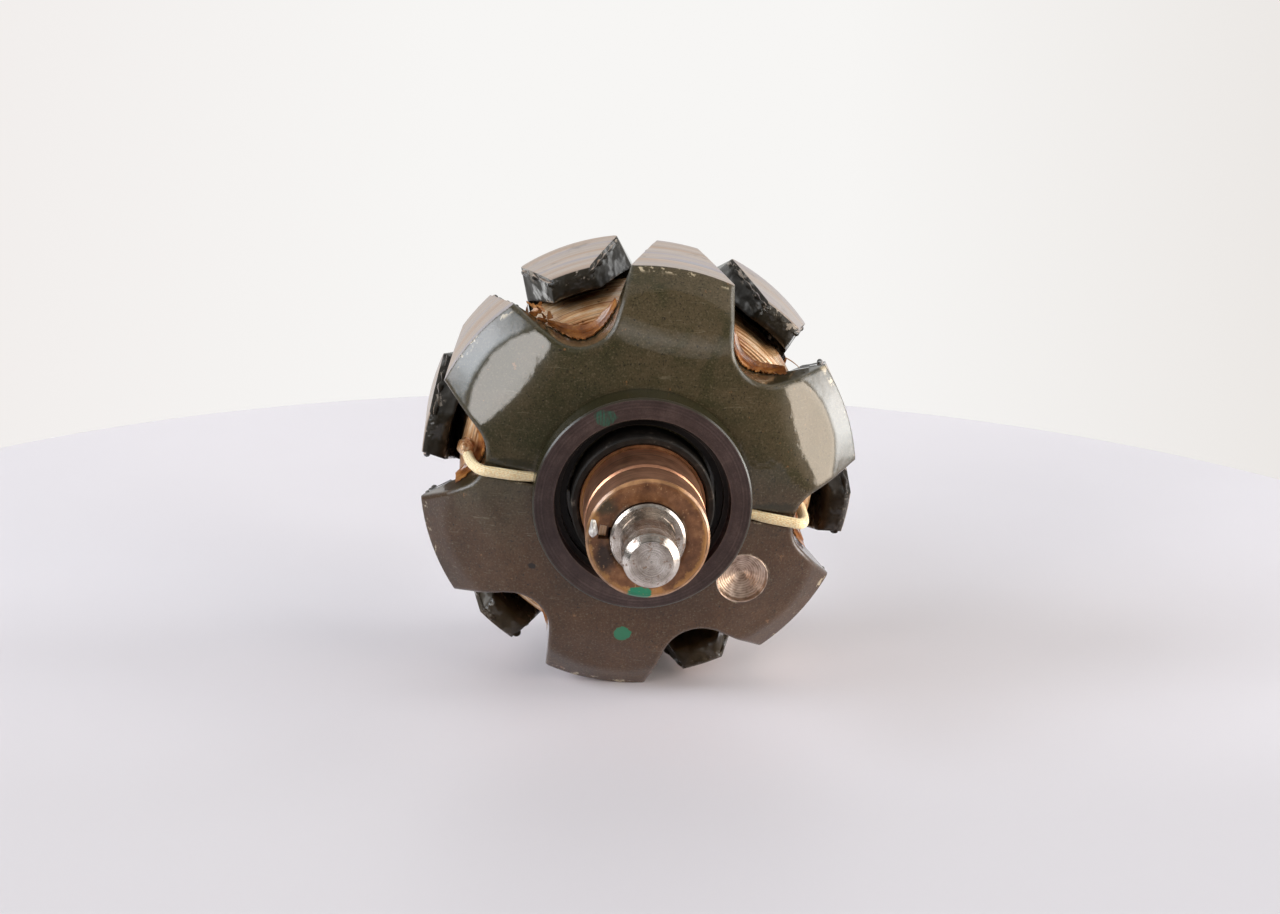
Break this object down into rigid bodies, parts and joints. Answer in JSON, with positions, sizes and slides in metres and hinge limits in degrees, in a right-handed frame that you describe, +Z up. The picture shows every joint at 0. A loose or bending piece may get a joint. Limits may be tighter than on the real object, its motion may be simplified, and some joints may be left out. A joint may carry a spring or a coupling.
{
  "type": "alternator rotor",
  "caption": "Claw pole alternator rotor: two interleaved pole wheels round a field coil, on a steel shaft with slip rings at one end and a threaded pulley end at the other.",
  "frame": {"origin": "on the shaft axis at the shoulder that stops the drive end bearing", "axes": "+Y along the shaft towards the pulley end, +Z up as the rotor lies in the picture, slip rings towards -Y"},
  "size_m": [0.105, 0.178, 0.105],
  "materials": {
    "shaft_steel": "turned, lightly rusted",
    "varnished_steel": "glossy brown varnish, ground bare on the outside",
    "core_steel": "plain",
    "insulation_paper": "varnished paper",
    "bobbin_plastic": "dull",
    "varnished_copper": "wound copper wire under amber varnish",
    "lead_sleeving": "braided sleeving",
    "ring_plastic": "dull",
    "hub_resin": "varnished moulding",
    "slip_ring_copper": "brush-worn copper",
    "tinned_copper": "soldered"
  },
  "bodies": {
    "root": {"shaft": "shaft_steel", "slip_end_pole_wheel": "varnished_steel", "drive_end_pole_wheel": "varnished_steel", "pole_core": "core_steel", "slip_end_insulation": "insulation_paper", "drive_end_insulation": "insulation_paper", "coil_bobbin": "bobbin_plastic", "field_winding": "varnished_copper", "left_lead_sleeve": "lead_sleeving", "right_lead_sleeve": "lead_sleeving", "labyrinth_ring": "ring_plastic", "hub_collar": "ring_plastic", "slip_ring_hub": "hub_resin", "inner_slip_ring": "slip_ring_copper", "outer_slip_ring": "slip_ring_copper", "slip_ring_spacer": "hub_resin", "terminal_strip": "tinned_copper"}
  },
  "joints": []
}
